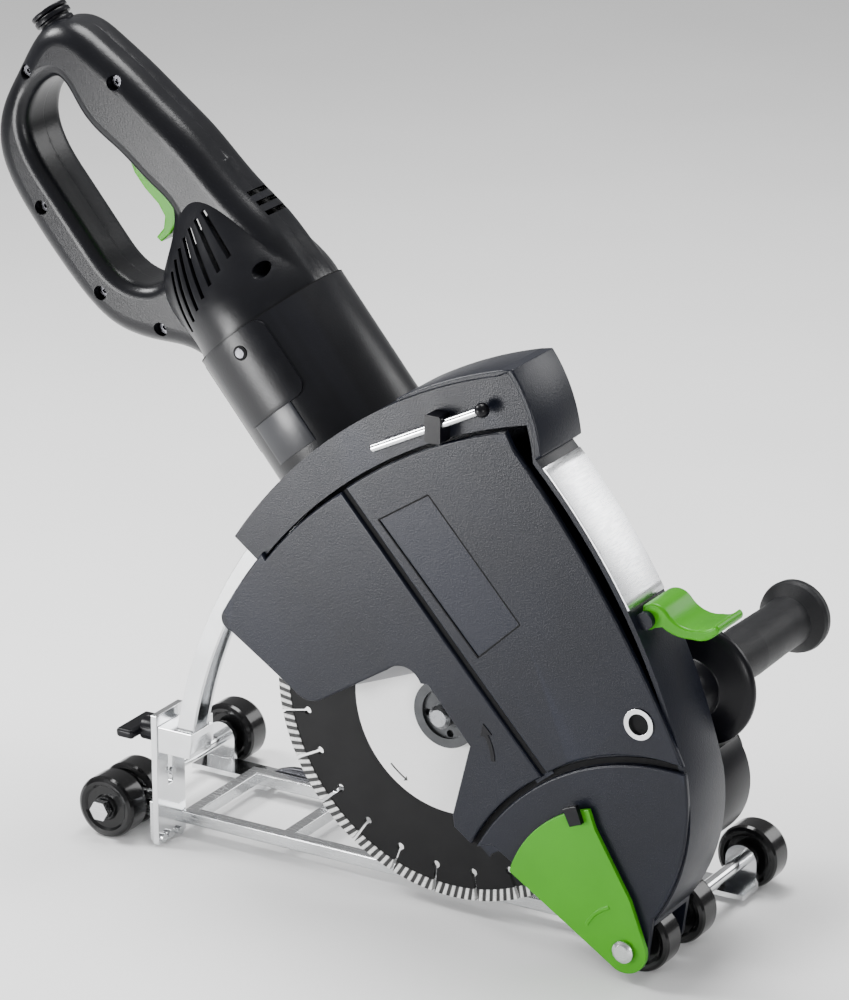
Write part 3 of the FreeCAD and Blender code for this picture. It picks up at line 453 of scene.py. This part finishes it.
def motor_strip(name, s0, s1, a0, a1, r0, r1, material, body="tool", count=48):
    """Curved strip wrapped round the motor line, angles in degrees from the near side, up positive."""
    mesh = bpy.data.meshes.new(name)
    points = []
    for s in (s0, s1):
        for r in (r0, r1):
            for i in range(count + 1):
                a = math.radians(a0 + (a1 - a0) * i / count)
                points.append(on_motor(s, r * math.sin(a), -r * math.cos(a)))
    row = count + 1
    faces = []
    for i in range(count):
        inner0, outer0, inner1, outer1 = i, row + i, 2 * row + i, 3 * row + i
        faces.append((outer0, outer0 + 1, outer1 + 1, outer1))
        faces.append((inner0, inner1, inner1 + 1, inner0 + 1))
        faces.append((inner0, inner0 + 1, outer0 + 1, outer0))
        faces.append((inner1, outer1, outer1 + 1, inner1 + 1))
    if abs(a1 - a0) < 360:
        for i in (0, count):
            faces.append((i, row + i, 3 * row + i, 2 * row + i))
    mesh.from_pydata(points, [], faces)
    tidy_normals(mesh)
    return add_mesh(name, mesh, material, body)


def groove_lines():
    """Painted shade: near-black strips at the bottom of the grooves between the near covers, and thin dark lines
    round a panel on the upper cover.
    """
    back = COVER_Y + 3.0
    diagonal = [(-53.3, 254.3), (14.5, 178.5), (75.0, 111.6)]
    # painted shade: near-black strip along the bottom of the diagonal groove
    slab("groove_shade_diagonal", ribbon(diagonal, 3.8), back - 0.9, back - 0.05, SHADOW_RUBBER, "tool")
    arc = arc_points((30.6, 58.6), (75.2, 109.0), (160.0, 132.6), 32)
    # painted shade: near-black strip along the bottom of the curved groove above the nose cover
    slab("groove_shade_arc", ribbon(arc, 3.2), back + 0.6, back + 1.4, SHADOW_RUBBER, "tool")
    corners = [(-30.8, 241.3), (1.4, 262.0), (60.0, 197.1), (33.4, 172.2)]
    for i in range(4):
        a, b = corners[i], corners[(i + 1) % 4]
        slab(f"panel_line_{i}", ribbon([a, b], 0.9), COVER_Y - 0.06, COVER_Y + 0.5, SHADOW_RUBBER, "tool")


def arrow_outline(line, width, head):
    """Outline of an arrow along a line of (x, z) points, pointing to its last point."""
    tip, base = line[-1], line[-2]
    dx, dz = tip[0] - base[0], tip[1] - base[1]
    size = math.hypot(dx, dz)
    nx, nz = -dz / size * head / 2, dx / size * head / 2
    shaft = ribbon(line[:-1], width)
    half = len(shaft) // 2
    return shaft[:half] + [(base[0] + nx, base[1] + nz), tip, (base[0] - nx, base[1] - nz)] + shaft[half:]


def arrows():
    """Turning-direction arrows: moulded on the wing cover, printed on the blade label."""
    moulded = arc_points((43.4, 112.5), (42.2, 120.0), (39.0, 127.0), 8) + [(37.0, 134.0)]
    slab("moulded_arrow", arrow_outline(moulded, 2.6, 8.0), COVER_Y - 0.5, COVER_Y + 0.2,
         MATERIALS["dark_plastic"], "tool", bevel=0.2)
    label_y = (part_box("blade_label")[0][1] - BLADE.y) / MM
    centre = BLADE.z / MM
    angles = [math.radians(a) for a in range(226, 241, 2)]
    turn = [(57 * math.cos(a), centre + 57 * math.sin(a)) for a in angles]
    slab("printed_arrow", arrow_outline(turn, 1.1, 4.0), label_y - 0.05, label_y, PRINT_BLACK, "blade")


def bolt_socket():
    """Shadowed bottom of the through bolt's socket."""
    x, z = (AUX.x - BLADE.x) / MM, AUX.z / MM
    bottom = (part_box("handle_bolt")[0][1] - BLADE.y) / MM + COLLAR_RECESS
    slab("bolt_socket", circle(x, z, 6.15), bottom - 0.3, bottom - 0.05, SHADOW_RUBBER, "tool")


def motor_place(s, y, t):
    """Point in motor axes, with the depth given second, as slab() gives it."""
    return on_motor(s, t, y)


def brush_cover_screw():
    """Screw that holds the access panel, in a shallow ring painted near-black for the shade of its recess."""
    ring = circle(234.7, 3.1, 4.4)
    head = circle(234.7, 3.1, 3.2)
    # painted shade: near-black ring in the recess round the screw head
    slab("panel_screw_recess_shade", ring, -49.4, -48.0, SHADOW_RUBBER, "tool", motor_place, 0.1)
    slab("panel_screw", head, -50.0, -49.0, MATERIALS["dark_screw"], "tool", motor_place, 0.5)


def vent_shade_sheet():
    """Painted shade: near-black sheet behind the cooling slits, standing in for the shade inside the housing."""
    outline = [(284, 23), (318, 17.5), (298, -22), (262, -28)]
    slab("vent_shade_sheet", outline, -11.5, -10.5, SHADOW_RUBBER, "tool", motor_place)


groove_lines()
arrows()
bolt_socket()
brush_cover_screw()
vent_shade_sheet()
motor_strip("seam_line", SEAM_START, SEAM_END, 0, 360, 46.0, 48.06, SHADOW_RUBBER, count=96)

# ------------------------------------------------------------------ stage, light and camera


FLOOR_HALF = 12.0
FLOOR_DROP = 0.0002


def stage():
    mesh = bpy.data.meshes.new("floor")
    corners = [(x * FLOOR_HALF, y * FLOOR_HALF, 0) for x, y in ((-1, -1), (1, -1), (1, 1), (-1, 1))]
    mesh.from_pydata(corners, [], [(0, 1, 2, 3)])
    floor = bpy.data.objects.new("floor", mesh)
    floor.location.z = CAD_BOX[0][2] - FLOOR_DROP
    bpy.context.scene.collection.objects.link(floor)
    m = Nodes("floor_white")
    m.link(m.ramp(m.noise(3, 2), grey(0.86), grey(0.90)), m.bsdf.inputs["Base Color"])
    m.bsdf.inputs["Roughness"].default_value = 0.7
    m.bsdf.inputs["Specular IOR Level"].default_value = 0.2
    floor.data.materials.append(m.mat)


def area_light(name, place, target, size, power, colour=(1, 1, 1)):
    data = bpy.data.lights.new(name, "AREA")
    data.shape = "DISK"
    data.size = size
    data.energy = power
    data.color = colour
    lamp = bpy.data.objects.new(name, data)
    lamp.location = place
    lamp.rotation_euler = (Vector(target) - Vector(place)).to_track_quat("-Z", "Y").to_euler()
    bpy.context.scene.collection.objects.link(lamp)


WORLD_POWER = 0.50
LAMPS = [
    ("low_left_box", (-0.47, -0.80, 0.16), 0.32, 8),
    ("left_box", (-0.95, -0.30, 1.0), 0.40, 16),
    ("top_box", (-0.1, 0.35, 1.7), 0.9, 40),
    ("back_box", (0.90, 1.40, 0.90), 0.8, 9),
    ("right_fill", (1.10, -0.95, 0.42), 0.4, 6),
]
LIGHT_TARGET = (0.0, 0, 0.24)


def lights():
    world = bpy.data.worlds.new("studio")
    world.use_nodes = True
    tree = world.node_tree
    sky = tree.nodes["Background"]
    where = tree.nodes.new("ShaderNodeTexCoord")
    split = tree.nodes.new("ShaderNodeSeparateXYZ")
    ramp = tree.nodes.new("ShaderNodeValToRGB")
    ramp.color_ramp.elements[0].position = 0.0
    ramp.color_ramp.elements[0].color = (0.55, 0.55, 0.56, 1)
    ramp.color_ramp.elements[1].position = 0.75
    ramp.color_ramp.elements[1].color = (1, 1, 1, 1)
    tree.links.new(where.outputs["Generated"], split.inputs[0])
    tree.links.new(split.outputs["Z"], ramp.inputs["Fac"])
    tree.links.new(ramp.outputs["Color"], sky.inputs["Color"])
    sky.inputs["Strength"].default_value = WORLD_POWER
    bpy.context.scene.world = world
    for name, place, size, power in LAMPS:
        area_light(name, place, LIGHT_TARGET, size, power)


AZIMUTH = 30.84
ELEVATION = 20.12
DISTANCE = 2.695
LOOK_AT = (-13.0, 0, 121.5)
SHIFT = (-0.0081, 0.0026)
SENSOR = 36.0
FOCAL_LENGTH = 4.848 * SENSOR
FAR_CLIP = 60


def camera():
    azimuth = math.radians(AZIMUTH)
    elevation = math.radians(ELEVATION)
    target = on_blade(*LOOK_AT)
    level = math.cos(elevation)
    ray = Vector((math.sin(azimuth) * level, -math.cos(azimuth) * level, math.sin(elevation)))
    data = bpy.data.cameras.new("camera")
    data.sensor_width = SENSOR
    data.lens = FOCAL_LENGTH
    data.shift_x, data.shift_y = SHIFT
    data.clip_end = FAR_CLIP
    cam = bpy.data.objects.new("camera", data)
    cam.location = target + ray * DISTANCE
    cam.rotation_euler = (-ray).to_track_quat("-Z", "Y").to_euler()
    bpy.context.scene.collection.objects.link(cam)
    bpy.context.scene.camera = cam


stage()
lights()
camera()
